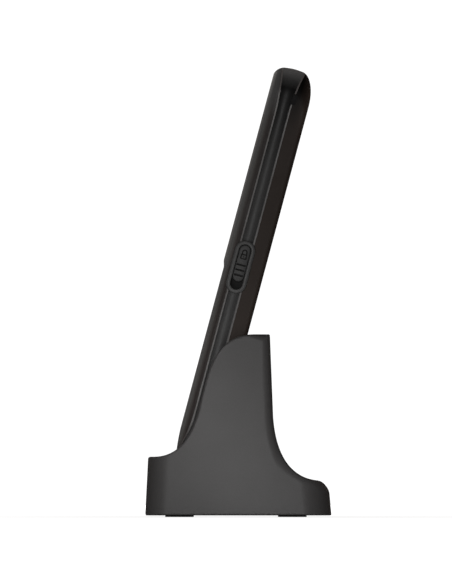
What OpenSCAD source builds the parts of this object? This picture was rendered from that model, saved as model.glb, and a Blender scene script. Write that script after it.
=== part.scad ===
// Slim bar handset leaning in a table-top charging cradle.
// Row frame: +Z up, +X to the handset's right side, -Y towards the user.
// Origin: centre of the cradle's footprint, on the plane its feet stand on.
// The handset is drawn in its own frame (x across, y from face to back, z from bottom to top)
// and placed by in_handset().

/* [Handset] */
// Width of the handset
handset_w = 55; // [54:0.5:55.5]
// Length of the handset, bottom to top
handset_len = 130; // [129:0.5:132]
// Thickness of the handset, display face to back
handset_t = 12.9; // [12.7:0.1:13.1]
// Angle that the handset leans back from the vertical
lean = 15; // [14:0.5:16]

/* [Cradle] */
// Width of the cradle at its foot
cradle_w = 69; // [68:0.5:74]
// Depth of the cradle, front to rear
cradle_d = 57.8; // [57:0.2:60]
// Height of the back rest above the table
cradle_top = 56.4; // [55:0.2:58]
// Height of the front lip above the table
lip_z = 18.6; // [18:0.1:19.2]
// Height of the low rear shelf above the table
shelf_z = 11.6; // [11.4:0.1:12.4]
// Wall thickness of the cradle housing
cradle_wall = 2.2; // [1.8:0.1:2.4]

/* [Keys] */
// Width of a key cap
key_w = 13.4; // [12:0.2:13.6]
// Height of a number key cap
key_h = 8.6; // [7:0.2:8.8]
// Column spacing of the keypad
key_col = 15.2; // [15.2:0.1:15.4]
// Row spacing of the keypad
key_row = 10.4; // [10.4:0.1:10.6]
// Travel of a key
key_travel = 0.4; // [0.3:0.05:0.5]

/* [Lock switch] */
// Length of the switch bezel along the handset
bezel_len = 16.8; // [15:0.2:17]
// Width of the switch bezel across the side
bezel_w = 6.2; // [5.8:0.1:6.4]
// Travel of the sliding knob
knob_travel = 2.45; // [2:0.05:2.8]

/* [Hidden] */
$fn = 32;
far = 200;

// colours
front_grey = [0.24, 0.23, 0.23];
band_grey = [0.20, 0.20, 0.20];
trim_grey = [0.32, 0.31, 0.31];
cover_brown = [0.16, 0.14, 0.13];
cradle_grey = [0.31, 0.31, 0.31];
board_green = [0.10, 0.32, 0.16];
steel = [0.72, 0.73, 0.75];
gold = [0.83, 0.68, 0.30];

// where the handset sits: its lower front edge, in the row frame
base_z = 0.5;
seat_y = -21.81;
seat_z = 14.77;

// handset shells
shell = 1.5;
cover_wall = 1.3;
outline_r = 9;
front_edge_r = 3.2;
back_edge_r = 1.2;
step_hy = 0.53;
step_lo = 65.2;
step_hi = 67.4;
chin_z = 14.6;
chin_span = 118;
trim_w = 0.45;
seam = 0.1;
cover_gap = 0.12;
band_in = 0.3;
front_trim_y = 3.55;
rear_trim_y = 7.63;
cover_seam_z = 42.5;
notch_lo = 118.8;
notch_hi = 122.9;

// inner stack of the handset, measured from the display face
plate_y = step_hy + shell;
lcd_y = 1.7;
key_back = plate_y + 0.67;
mat_y = key_back + key_travel + 0.2;
board_y = 4.4;
chassis_y = 5.8;
bay_y = 6.7;

// switch bezel on the right side, volume rocker on the left
bezel_y = 5.5;
bezel_z = 66.5;
bezel_out = 0.7;
slot_len = bezel_len - 2.6;
slot_w = bezel_w - 2.6;
knob_len = slot_len - knob_travel - 0.1;
knob_z = bezel_z + (slot_len - knob_len) / 2 - 0.05;
rocker_z = 95;
rocker_len = 16;
rocker_w = 2.2;

// keypad rows, bottom row first
row_z = 14;
nav_z = 57.5;
side_key_h = 4.8;
cap_top = 0.75;
cap_gap = 0.2;
flange = 0.6;

// cradle details
pocket_gap = 0.35;
pocket_side = 0.55;
lead_z = 41.5;
screw_at = [29.2, 20];
foot_at = [22, -18.3, 16.8];
foot_r = 4.4;
pin_x = 7.5;
pin_y = 5.8;
plate_top = 2.8;

// ---------- helpers ----------

// points of a cubic Bezier curve
function bezier(a, b, c, d, n = 10) = [
    for (i = [0:n]) let (t = i / n, s = 1 - t)
        s*s*s*a + 3*s*s*t*b + 3*s*t*t*c + t*t*t*d
];

// points of an elliptical arc
function arc(cx, cy, rx, ry, from, to, n = 8) = [
    for (i = [0:n]) let (a = from + (to - from) * i / n)
        [cx + rx * cos(a), cy + ry * sin(a)]
];

// a list without its first point
function tail(v) = [for (i = [1:len(v) - 1]) v[i]];

function unit(v) = v / norm(v);

// a counter-clockwise outline moved inwards by d
function inset(p, d) = [
    for (i = [0:len(p) - 1])
        let (
            n = len(p),
            e1 = unit(p[i] - p[(i + n - 1) % n]),
            e2 = unit(p[(i + 1) % n] - p[i]),
            n1 = [-e1[1], e1[0]],
            n2 = [-e2[1], e2[0]]
        )
        p[i] + d * (n1 + n2) / (1 + n1 * n2)
];

// rounded rectangle about the origin
function round_rect(w, h, r, n = 6) = concat(
    arc(w/2 - r, h/2 - r, r, r, 0, 90, n),
    arc(r - w/2, h/2 - r, r, r, 90, 180, n),
    arc(r - w/2, r - h/2, r, r, 180, 270, n),
    arc(w/2 - r, r - h/2, r, r, 270, 360, n)
);

module in_handset() {
    translate([0, seat_y, seat_z]) rotate([-lean, 0, 0]) children();
}

// a profile of (y, z) points, drawn out along x
module across(points, width) {
    rotate([90, 0, 90]) linear_extrude(width, center = true) polygon(points);
}

// a profile of (x, z) points, drawn from y0 to y1
module through(points, y0, y1) {
    translate([0, y1, 0]) rotate([90, 0, 0]) linear_extrude(y1 - y0) polygon(points);
}

module block(x, y, z) {
    translate([x[0], y[0], z[0]]) cube([x[1] - x[0], y[1] - y[0], z[1] - z[0]]);
}

// rounded bar: w along x, h along z, from y0 to y1, centred on (x, z)
module pad(x, z, w, h, r, y0, y1) {
    translate([x, 0, z]) through(round_rect(w, h, r), y0, y1);
}

// round-ended bar lying in the handset's side: length along z, width along y
module side_slot(y, z, len, w, x0, x1) {
    translate([x0, y, z]) rotate([90, 0, 90]) linear_extrude(x1 - x0) {
        square([w, len - w], center = true);
        translate([0, (len - w) / 2]) circle(d = w);
        translate([0, (w - len) / 2]) circle(d = w);
    }
}

// ---------- handset envelope ----------

// height of the face below the display plane, in the chin
function chin(z) = step_hy + pow(max(chin_z - z, 0), 2) / chin_span;

// side profile, counter-clockwise with y to the right and z up
function side_profile() = concat(
    arc(4.2, 3, 4.2 - chin(3), 3, 180, 270, 5),
    arc(handset_t - 2.5, 3, 2.5, 3, 270, 360, 5),
    arc(handset_t - 4.7, handset_len - 9.9, 4.7, 9.9, 0, 90, 8),
    arc(3, handset_len - 2.9, 3, 2.9, 90, 180, 5),
    [[0, step_hi], [0.1, step_hi - 0.6], [step_hy - 0.1, step_lo + 0.6], [step_hy, step_lo]],
    [for (i = [0:4]) let (z = chin_z - i * (chin_z - 3) / 5) [chin(z), z]]
);

function front_outline(d) = [
    for (p = round_rect(handset_w - 2*d, handset_len - 2*d, outline_r - d, 8))
        p + [0, handset_len / 2]
];

function cross_section(d) = let (
    f = max(front_edge_r - d, 0.3), b = max(back_edge_r - d, 0.3), w = handset_w / 2 - d
) concat(
    arc(w - b, handset_t - d - b, b, b, 0, 90, 4),
    arc(b - w, handset_t - d - b, b, b, 90, 180, 4),
    arc(f - w, d + f, f, f, 180, 270, 6),
    arc(w - f, d + f, f, f, 270, 360, 6)
);

// the whole handset's outer form, moved inwards by d
module envelope(d) {
    intersection() {
        across(inset(side_profile(), d), handset_w + 10);
        through(front_outline(d), -5, handset_t + 5);
        linear_extrude(handset_len) polygon(cross_section(d));
    }
}

// how far the front trim lies behind the display face, at height z
function front_trim(z) = front_trim_y
    - 1.3 * pow(max(z - 113.8, 0) / 15.3, 2)
    - pow(max(19.3 - z, 0), 2) / 70;

// the same for the rear trim
function rear_trim(z) = rear_trim_y + 1.4 * pow(max(z - 116, 0) / 13, 2);

trim_heights = [-2, 1, 4, 7, 10, 13, 16, 19.3, 60, 113.8, 116, 119, 122, 125, 128, 131];

// region between two of the trim curves; a and b shift them
module front_of_trim(shift) {
    across(concat(
        [[-far, trim_heights[0]]],
        [for (z = trim_heights) [front_trim(z) + shift, z]],
        [[-far, trim_heights[len(trim_heights) - 1]]]
    ), far);
}

module behind_trim(shift) {
    top = trim_heights[len(trim_heights) - 1];
    across(concat(
        [[far, top]],
        [for (i = [len(trim_heights) - 1:-1:0])
            let (z = trim_heights[i]) [rear_trim(z) + shift, z]],
        [[far, trim_heights[0]]]
    ), far);
}

// cuts for the switch bezel and the volume rocker in the side walls
module side_cuts() {
    side_slot(bezel_y, bezel_z, bezel_len + 0.2, bezel_w + 0.2, handset_w/2 - 2.3, far/2);
    side_slot(
        (front_trim_y + rear_trim_y) / 2, rocker_z, rocker_len + 0.6, rocker_w + 0.5,
        -far/2, -handset_w/2 + 2.3
    );
}

// ---------- handset shells ----------

window_z = 95;
window_w = 43;
window_h = 50;

module handset_front_shell() {
    color(front_grey) in_handset() difference() {
        union() {
            difference() {
                envelope(0);
                envelope(shell);
                difference() {
                    behind_front_trim();
                    keypad_wall(0);
                }
            }
            for (b = screw_spots)
                translate([b[0], 1.2, b[1]]) rotate([-90, 0, 0])
                    cylinder(r = 1.4, h = chassis_y - 1.25);
        }
        side_cuts();
        // recess for the window and the opening for the display
        pad(0, window_z, window_w + 0.3, window_h + 0.3, 2.5, -1, 1);
        pad(0, window_z, 37.5, 46, 1, -1, 4);
        // earpiece slot
        pad(0, 124, 13, 1.8, 0.89, -1, 4);
        // key openings
        for (k = number_spots) key_opening(k, key_w, key_h);
        for (k = side_spots) key_opening(k, key_w, side_key_h);
        pad(0, nav_z, nav_w + 0.7, nav_h + 0.7, 2.6, -1, 3);
        // room for the flanges of the lowest keys where the face curves back
        pad(0, row_z, 46, key_h + 2.4, 1.2, plate_y, 4);
        // pilot holes for the screws
        screw_holes(2.4, 0.75);
    }
}

// x and z of the four screws that hold the handset together
screw_spots = [for (x = [-24.3, 24.3], z = [46, 108]) [x, z]];

// holes for those screws, from y0 backwards
module screw_holes(y0, r) {
    for (b = screw_spots)
        translate([b[0], y0, b[1]]) rotate([-90, 0, 0]) cylinder(r = r, h = 20);
}

// everything behind the front shell's rear edge
module behind_front_trim() {
    difference() {
        block([-far/2, far/2], [-far, far], [-far, far]);
        front_of_trim(-trim_w/2 - seam/2);
    }
}

// the wall round the keys, which stays whole although the trim curve runs through it
module keypad_wall(grow) {
    block([-24 - grow, 24 + grow], [-1, 5], [7.7 - grow, 60]);
}

module ring_between(outer, inner) {
    difference() {
        envelope(outer);
        envelope(inner);
    }
}

module front_trim_ring() {
    color(trim_grey) in_handset() difference() {
        intersection() {
            ring_between(0, shell);
            front_of_trim(trim_w/2);
        }
        front_of_trim(-trim_w/2);
        keypad_wall(seam);
        side_cuts();
    }
}

module side_band() {
    color(band_grey) in_handset() difference() {
        ring_between(band_in, band_in + 1.4);
        front_of_trim(trim_w/2 + seam/2);
        behind_trim(-trim_w/2 - seam/2);
        keypad_wall(seam);
        side_cuts();
        socket_and_pad_cuts();
    }
}

module socket_and_pad_cuts() {
    block([-4.1, 4.1], [4.3, 7.3], [-1, 6]);
    for (s = [-1, 1])
        block([s*pin_x - 2.6, s*pin_x + 2.6], [4.5, 7.1], [-1, 1.72]);
    translate([mic_x, 5.6, -1]) cylinder(r = 0.5, h = 4);
}

module rear_trim_ring() {
    color(trim_grey) in_handset() difference() {
        intersection() {
            ring_between(0, shell);
            behind_trim(-trim_w/2);
        }
        behind_trim(trim_w/2);
        side_cuts();
        nail_notch();
    }
}

// shallow notch for a finger nail in the right side
module nail_notch() {
    block([handset_w/2 - 1, far/2], [rear_trim_y - 1, rear_trim_y + 1.3], [notch_lo, notch_hi]);
}

module back_half(wall) {
    difference() {
        envelope(0);
        envelope(wall);
        difference() {
            block([-far/2, far/2], [-far, far], [-far, far]);
            behind_trim(trim_w/2 + cover_gap);
        }
        side_cuts();
    }
}

module rear_housing() {
    color(cover_brown) in_handset() difference() {
        back_half(cover_wall);
        block([-far/2, far/2], [0, far], [cover_seam_z - 0.45, far]);
        hinge_beads(0.43, 0.1);
        socket_and_pad_cuts();
        // slots of the loudspeaker's sound path
        for (i = [-2:2]) pad(i * 2.2, 36, 1, 6, 0.49, handset_t - 3, far);
    }
}

// round beads on the cover's lower edge, about which it swings open
module hinge_beads(r, grow) {
    for (x = [-16, 16])
        translate([x - 3 - grow, handset_t - 0.7, cover_seam_z - 0.12]) rotate([0, 90, 0])
            cylinder(r = r, h = 6 + 2*grow);
}

module battery_cover() {
    color(cover_brown) in_handset() {
        difference() {
            back_half(cover_wall);
            block([-far/2, far/2], [0, far], [-1, cover_seam_z]);
            nail_notch();
            for (i = [-3:3]) pad(i * 2.2, 113, 1, 7, 0.49, handset_t - 3, far);
        }
        hinge_beads(0.35, 0);
        // hooks that reach under the rear housing's edge
        for (x = [-16, 16]) {
            block([x - 3, x + 3], [handset_t - 2.3, handset_t - 1.45],
                [cover_seam_z - 1.2, cover_seam_z + 2]);
            block([x - 3, x + 3], [handset_t - 1.6, handset_t - 1.2],
                [cover_seam_z + 0.2, cover_seam_z + 2]);
        }
    }
}

module mid_chassis() {
    color([0.28, 0.28, 0.29]) in_handset() difference() {
        union() {
            pad(0, 65.5, 50.4, 123, 7, chassis_y, chassis_y + 0.8);
            // walls of the battery bay
            for (x = [-22.5, 21.5]) block([x, x + 1], [chassis_y, 9.4], [46.5, 103.5]);
            block([-22.5, 22.5], [chassis_y, 9.4], [102.6, 103.6]);
        }
        block([21, far/2], [0, far], [57, 76]);
        block([-far/2, -22.6], [0, far], [85, 105]);
        block([-4.2, 4.2], [0, far], [0, 6.2]);
        screw_holes(0, 0.8);
        pad(0, 27, 36, 3, 1, 0, far);
    }
}

// ---------- handset insides ----------

module display_window() {
    color([0.04, 0.04, 0.05]) in_handset()
        pad(0, window_z, window_w, window_h, 2.4, 0.02, 0.95);
}

module lcd_module() {
    color([0.45, 0.50, 0.52]) in_handset() {
        block([-19.8, 19.8], [lcd_y, lcd_y + 2], [70.5, 119.5]);
        block([-20.6, 20.6], [lcd_y + 2, lcd_y + 2.5], [69, 120.2]);
    }
}

module main_board() {
    color(board_green) in_handset() difference() {
        union() {
            pad(0, 65.5, 50, 121, 7, board_y, board_y + 0.9);
            // shielding cans and chips on the rear side
            block([-15, 2], [board_y + 0.9, chassis_y - 0.1], [78, 98]);
            block([6, 18], [board_y + 0.9, chassis_y - 0.15], [80, 92]);
            block([-14, -4], [board_y + 0.9, chassis_y - 0.2], [52, 66]);
        }
        screw_holes(0, 1.8);
        block([-4.2, 4.2], [0, far], [0, 6.2]);
        block([21, far/2], [0, far], [57, 76]);
        block([-far/2, -22.6], [0, far], [85, 105]);
    }
}

module keypad_mat() {
    color([0.55, 0.56, 0.57]) in_handset() {
        pad(0, 37, 45, 53, 2, mat_y, mat_y + 0.7);
        for (k = concat(number_spots, side_spots))
            translate([k[1], mat_y + 0.7, k[2]]) rotate([-90, 0, 0])
                cylinder(r = 1.4, h = board_y - mat_y - 0.75);
    }
}

module receiver() {
    color(steel) in_handset() pad(0, 123.4, 14, 4, 1.5, 1.9, 4.2);
}

module earpiece_grille() {
    color(steel) in_handset() difference() {
        pad(0, 124, 12.8, 1.6, 0.79, 0.6, 1.2);
        for (i = [-5:5]) translate([i * 1.1, 0, 124]) rotate([-90, 0, 0])
            cylinder(r = 0.32, h = 3);
    }
}

module loudspeaker() {
    color([0.15, 0.15, 0.16]) in_handset() {
        pad(0, 113, 19, 14, 3, bay_y, bay_y + 3);
        pad(0, 113, 14, 9, 3, bay_y + 3, bay_y + 3.6);
    }
}

mic_x = 14;

module microphone() {
    color(steel) in_handset() translate([mic_x, 5.6, 2.1]) cylinder(r = 1, h = 1.6);
}

motor_at = [-15, 9, 16];

module vibration_motor() {
    color(steel) in_handset() translate(motor_at) rotate([0, 90, 0]) {
        cylinder(r = 2, h = 9);
        translate([0, 0, -2.9]) cylinder(r = 0.35, h = 3);
    }
}

module motor_weight() {
    color([0.5, 0.48, 0.45]) in_handset() translate(motor_at) rotate([0, -90, 0])
        translate([0, 0, 0.4]) difference() {
            cylinder(r = 1.9, h = 2.4);
            translate([0, 0, -1]) cylinder(r = 0.4, h = 5);
            translate([-3, 0.7, -1]) cube([6, 3, 5]);
        }
}

module antenna() {
    color(gold) in_handset() {
        block([-20, 20], [bay_y + 2.2, bay_y + 2.5], [6, 9.5]);
        block([-20, -17], [bay_y + 2.2, bay_y + 2.5], [9.4, 12.5]);
        block([8, 11], [bay_y, bay_y + 2.3], [7, 9]);
    }
}

module battery() {
    color([0.22, 0.24, 0.28]) in_handset()
        pad(0, 75, 42.6, 53.6, 1.5, 7.6, 11.45);
}

module battery_contacts() {
    color(gold) in_handset() for (x = [-5, 0, 5])
        block([x - 0.7, x + 0.7], [bay_y, 10.2], [44.6, 47.9]);
}

module sim_holder() {
    color(steel) in_handset() difference() {
        pad(0, 62, 17, 14, 0.5, bay_y - 0.05, 7.5);
        block([-7.6, 7.6], [6.9, 7.3], [54, 70]);
        block([-4.5, 4.5], [7.2, 8], [57, 64]);
    }
}

module handset_screws() {
    color(steel) in_handset() for (b = screw_spots)
        translate([b[0], 0, b[1]]) rotate([-90, 0, 0]) {
            translate([0, 0, 3]) cylinder(r = 0.7, h = chassis_y - 2);
            translate([0, 0, chassis_y + 0.85]) difference() {
                cylinder(r = 1.3, h = 0.8);
                translate([-0.9, -0.15, 0.4]) cube([1.8, 0.3, 1]);
                translate([-0.15, -0.9, 0.4]) cube([0.3, 1.8, 1]);
            }
        }
}

// ---------- side controls ----------

knob_out = 0.35;

module switch_bezel() {
    x1 = handset_w/2 + bezel_out;
    color([0.27, 0.27, 0.27]) in_handset() difference() {
        side_slot(bezel_y, bezel_z, bezel_len, bezel_w, handset_w/2 - 2.2, x1);
        side_slot(bezel_y, bezel_z, slot_len, slot_w, handset_w/2 - 1.4, x1 + 1);
        block([handset_w/2 - 5, handset_w/2], [bezel_y - 0.65, bezel_y + 0.65],
            [bezel_z - 3.5, bezel_z + 3.5]);
    }
}

module lock_slider() {
    x1 = handset_w/2 + knob_out;
    color([0.25, 0.25, 0.25]) in_handset() {
        difference() {
            side_slot(bezel_y, knob_z, knob_len, slot_w - 0.2, handset_w/2 - 1.3, x1);
            // grip grooves
            for (i = [0:2]) translate([x1, bezel_y, knob_z - 1 - i * 1.65])
                rotate([0, 45, 0]) cube([0.5, slot_w - 1, 0.5], center = true);
        }
        block([handset_w/2 - 3.6, handset_w/2 - 1.25], [bezel_y - 0.5, bezel_y + 0.5],
            [bezel_z + 1.2 - 0.9, bezel_z + 1.2 + 0.9]);
    }
}

module lock_switch() {
    color(steel) in_handset() difference() {
        block([22.2, 25.1], [board_y - 0.2, 6.9], [58.5, 74.5]);
        block([23.5, 26], [bezel_y - 0.7, bezel_y + 0.7], [bezel_z - 4.2, bezel_z + 4.2]);
    }
}

rocker_y = (front_trim_y + rear_trim_y) / 2;

module volume_rocker() {
    color(front_grey) in_handset() {
        side_slot(rocker_y, rocker_z, rocker_len, rocker_w, -handset_w/2 - 0.4, -25.9);
        translate([-25.7, rocker_y - rocker_w/2 + 0.2, rocker_z]) rotate([-90, 0, 0])
            cylinder(r = 0.5, h = rocker_w - 0.4);
    }
}

module volume_switch() {
    color(steel) in_handset() {
        block([-24.2, -22.8], [board_y, rocker_y + 1.1], [rocker_z - 7.5, rocker_z + 7.5]);
        for (s = [-1, 1])
            translate([-25.5, rocker_y, rocker_z + s * 5.5]) rotate([0, 90, 0])
                cylinder(r = 0.7, h = 1.4);
    }
}

module charging_pads() {
    color(gold) in_handset() for (s = [-1, 1]) {
        block([s*pin_x - 2.4, s*pin_x + 2.4], [4.7, 6.9], [0.05, 1.8]);
        block([s*pin_x - 2.8, s*pin_x + 2.8], [4.5, 7.1], [1.73, 2.1]);
    }
}

module handset_socket() {
    color(steel) in_handset() difference() {
        block([-3.8, 3.8], [4.5, 7.1], [0.4, 5.8]);
        block([-3.4, 3.4], [4.9, 6.7], [-1, 5.2]);
    }
}

// ---------- keys ----------

nav_w = 12.6;
nav_h = 11.4;

// name, x, z of each number key
number_keys = [
    ["star", -1, 0], ["0", 0, 0], ["hash", 1, 0],
    ["7", -1, 1], ["8", 0, 1], ["9", 1, 1],
    ["4", -1, 2], ["5", 0, 2], ["6", 1, 2],
    ["1", -1, 3], ["2", 0, 3], ["3", 1, 3]
];
number_spots = [
    for (k = number_keys) [k[0], k[1] * key_col, row_z + k[2] * key_row]
];
side_spots = [
    ["key_call", -key_col, nav_z - 3.2], ["key_end", key_col, nav_z - 3.2],
    ["softkey_left", -key_col, nav_z + 3.2], ["softkey_right", key_col, nav_z + 3.2]
];

module key_opening(k, w, h) {
    pad(k[1], k[2], w + 2*cap_gap, h + 2*cap_gap, 1.8, -1, 3);
}

module key_cap(k, w, h) {
    in_handset() {
        pad(k[1], k[2], w, h, 1.6, cap_top, key_back);
        pad(k[1], k[2], w + 2*flange, h + 2*flange, 1.2, plate_y + 0.12, key_back);
    }
}

module number_key(k) {
    color([0.20, 0.20, 0.20]) key_cap(k, key_w, key_h);
}

module side_key(k, colour) {
    color(colour) key_cap(k, key_w, side_key_h);
}

module nav_rocker() {
    color([0.30, 0.30, 0.30]) in_handset() difference() {
        union() {
            pad(0, nav_z, nav_w, nav_h, 2.4, cap_top, key_back);
            translate([-4, plate_y + 0.6, nav_z]) rotate([0, 90, 0]) cylinder(r = 0.5, h = 8);
        }
        pad(0, nav_z, 6, 5, 1.2, -1, cap_top + 0.25);
    }
}

// ---------- cradle ----------

// side profile of the housing, counter-clockwise; its foot is at height foot, and ease
// is the size of the bevels on its two sharp corners
function cradle_profile(foot, ease) = let (h = cradle_d / 2) concat(
    [[-h, foot], [h, foot], [h - 0.1, 2]],
    // rounded rear end and the concave sweep up to the back rest
    bezier([h - 0.3, 5.5], [h - 0.6, 9.6], [h - 2, shelf_z - 0.6], [h - 5.4, shelf_z], 8),
    tail(bezier([h - 5.4, shelf_z], [15.6, shelf_z + 1.3], [11.6, 20], [10.8, 31], 10)),
    ease > 0 ? [[9.8, cradle_top - ease], [9.8 - ease, cradle_top]] : [[9.8, cradle_top]],
    // S-shaped edge of the cheeks, down to the front deck
    bezier([5, cradle_top], [-7.5, cradle_top], [-9.5, 45], [-12.3, 33], 12),
    tail(bezier([-12.3, 33], [-14.8, 24.5], [-18.5, lip_z + 0.3], [-26, lip_z + 0.1], 10)),
    ease > 0 ? [[0.9 - h + ease, lip_z], [0.9 - h, lip_z - ease]] : [[0.9 - h, lip_z]]
);

function cradle_plan(d) = concat(
    arc(cradle_w/2 - 9, cradle_d/2 - 9, 9 - d, 9 - d, 0, 90, 6),
    arc(9 - cradle_w/2, cradle_d/2 - 9, 9 - d, 9 - d, 90, 180, 6),
    arc(7 - cradle_w/2, 7 - cradle_d/2, 7 - d, 7 - d, 180, 270, 6),
    arc(cradle_w/2 - 7, 7 - cradle_d/2, 7 - d, 7 - d, 270, 360, 6)
);

// the cradle's outer form, moved inwards by d and with its foot at height foot
module cradle_form(d, foot) {
    side = (cradle_w - 5.9) / 2;
    intersection() {
        across(inset(cradle_profile(foot, d > 1 ? 0 : 0.5), d), far);
        translate([0, 0, -20]) linear_extrude(far) polygon(cradle_plan(d));
        through([
            [d - cradle_w/2 - 1, -20], [cradle_w/2 - d + 1, -20], [cradle_w/2 - d, 0],
            [side - d, cradle_top + 1], [d - side, cradle_top + 1], [d - cradle_w/2, 0]
        ], -far, far);
    }
}

// space that the handset goes in and out of, in the handset's frame
module pocket() {
    w = handset_w + 2 * pocket_side;
    back = handset_t + 0.3;
    across(concat(
        [[chin(3) - pocket_gap, -0.15], [back, -0.15], [back, lead_z],
            [back + 30, lead_z + 30], [back + 30, 90], [-3, 90], [-3, 50],
            [step_hy - pocket_gap, 30], [step_hy - pocket_gap, chin_z]],
        [for (i = [1:4]) let (z = chin_z - i * (chin_z - 3) / 5) [chin(z) - pocket_gap, z]]
    ), w);
}

// solid block that the pocket is sunk into, with its walls
module pocket_block() {
    w = handset_w + 2 * pocket_side + 3.2;
    across([
        [-1.6, -1.9], [handset_t + 2, -1.9], [handset_t + 2, lead_z - 0.85],
        [handset_t + 32, lead_z + 29.15], [handset_t + 32, 90], [-1.6, 90]
    ], w);
}

module cradle_housing() {
    color(cradle_grey) difference() {
        union() {
            difference() {
                cradle_form(0, base_z);
                cradle_form(cradle_wall, base_z - 10);
            }
            intersection() {
                cradle_form(0.4, base_z);
                in_handset() pocket_block();
            }
            for (sx = [-1, 1], sy = [-1, 1])
                translate([sx * screw_at[0], sy * screw_at[1], plate_top + 0.05]) {
                    cylinder(r = 2.3, h = 7.2);
                    // rib from the boss to the side wall
                    translate([sx * 2.3 - 1.9, -0.8, 0]) cube([3.8, 1.6, 7.2]);
                }
        }
        in_handset() {
            pocket();
            // opening for the contact block
            pad_z(0, pin_y, 21.8, 4.6, -3, 1);
        }
        for (sx = [-1, 1], sy = [-1, 1])
            translate([sx * screw_at[0], sy * screw_at[1], 0]) cylinder(r = 1.3, h = 8.4);
        // opening for the charging plug
        block([-4.3, 4.3], [20, 40], [4.5, 8.4]);
    }
}

// bar centred on (x, y), from z0 to z1
module pad_z(x, y, w, h, z0, z1) {
    block([x - w/2, x + w/2], [y - h/2, y + h/2], [z0, z1]);
}

module cradle_base_plate() {
    color([0.25, 0.24, 0.24]) difference() {
        union() {
            translate([0, 0, base_z]) linear_extrude(plate_top - base_z)
                polygon(cradle_plan(cradle_wall + 0.55));
            for (x = [-14, 14], y = [-5, 16])
                translate([x, y, plate_top - 0.1]) cylinder(r = 2, h = 0.9);
        }
        for (sx = [-1, 1], sy = [-1, 1])
            translate([sx * screw_at[0], sy * screw_at[1], 0]) {
                cylinder(r = 1.5, h = 5);
                cylinder(r = 2.6, h = 1.9);
            }
        for (sx = [-1, 1], y = [foot_at[1], foot_at[2]])
            translate([sx * foot_at[0], y, 0]) cylinder(r = foot_r + 0.1, h = 1.4);
    }
}

module cradle_feet() {
    color([0.12, 0.12, 0.12]) for (sx = [-1, 1], y = [foot_at[1], foot_at[2]])
        translate([sx * foot_at[0], y, 0]) cylinder(r = foot_r, h = 1.35);
}

module cradle_screws() {
    color(steel) for (sx = [-1, 1], sy = [-1, 1])
        translate([sx * screw_at[0], sy * screw_at[1], 0]) difference() {
            union() {
                translate([0, 0, 0.95]) cylinder(r = 2.4, h = 0.9);
                translate([0, 0, 1.8]) cylinder(r = 1.25, h = 6.2);
            }
            translate([-1.4, -0.25, 0]) cube([2.8, 0.5, 1.4]);
            translate([-0.25, -1.4, 0]) cube([0.5, 2.8, 1.4]);
        }
}

module cradle_board() {
    color(board_green) {
        block([-17, 17], [-7.5, 25.6], [3.62, 4.8]);
        block([-12, -6], [2, 8], [4.8, 7.6]);
        block([5, 9], [0, 5], [4.8, 6.4]);
        translate([8, 11, 4.7]) cylinder(r = 2.4, h = 4);
    }
}

module cradle_inlet() {
    color(steel) difference() {
        block([-3.9, 3.9], [20.6, 27.6], [4.82, 8.02]);
        block([-3.4, 3.4], [22, 30], [5.3, 7.6]);
    }
}

module contact_block() {
    color([0.10, 0.10, 0.11]) in_handset() difference() {
        union() {
            pad_z(0, pin_y, 30, 5.8, -6.6, -1.95);
            pad_z(0, pin_y, 21.6, 4.4, -2, -0.6);
        }
        for (s = [-1, 1]) translate([s * pin_x, pin_y, -6.35]) cylinder(r = 0.95, h = 8);
    }
}

module contact_pins() {
    color(gold) in_handset() for (s = [-1, 1])
        translate([s * pin_x, pin_y, -5.5]) cylinder(r = 0.9, h = 5.5);
}

module ballast_plate() {
    color(steel) block([-15, 15], [-25.2, -12], [plate_top + 0.02, 5.9]);
}

// ---------- what is drawn ----------

handset_front_shell();
front_trim_ring();
side_band();
rear_trim_ring();
rear_housing();
battery_cover();
mid_chassis();
display_window();
lcd_module();
main_board();
keypad_mat();
receiver();
earpiece_grille();
loudspeaker();
microphone();
vibration_motor();
motor_weight();
antenna();
battery();
battery_contacts();
sim_holder();
handset_screws();
switch_bezel();
lock_slider();
lock_switch();
volume_rocker();
volume_switch();
charging_pads();
handset_socket();
for (k = number_spots)
    number_key(k);
for (k = side_spots)
    side_key(k, k[0] == "key_call" ? [0.1, 0.4, 0.18]
            : k[0] == "key_end" ? [0.5, 0.1, 0.1] : [0.2, 0.2, 0.2]);
nav_rocker();
cradle_housing();
cradle_base_plate();
cradle_feet();
cradle_screws();
cradle_board();
cradle_inlet();
contact_block();
contact_pins();
ballast_plate();
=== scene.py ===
import math

import bpy
import numpy as np
from mathutils import Matrix, Vector


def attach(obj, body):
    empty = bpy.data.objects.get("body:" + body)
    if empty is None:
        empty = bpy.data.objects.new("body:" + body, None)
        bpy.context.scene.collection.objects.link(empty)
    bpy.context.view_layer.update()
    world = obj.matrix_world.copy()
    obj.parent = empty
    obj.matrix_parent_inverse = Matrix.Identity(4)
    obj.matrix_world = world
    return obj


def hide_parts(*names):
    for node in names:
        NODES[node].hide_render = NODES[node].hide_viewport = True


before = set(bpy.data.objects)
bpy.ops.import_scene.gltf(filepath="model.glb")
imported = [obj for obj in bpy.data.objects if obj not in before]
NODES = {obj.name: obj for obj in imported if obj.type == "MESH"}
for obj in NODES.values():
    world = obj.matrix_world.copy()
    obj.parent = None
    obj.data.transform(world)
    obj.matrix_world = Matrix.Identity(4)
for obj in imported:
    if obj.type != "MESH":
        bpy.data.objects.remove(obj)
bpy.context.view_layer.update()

# ---------------------------------------------------------------- main sizes, in millimetres

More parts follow.
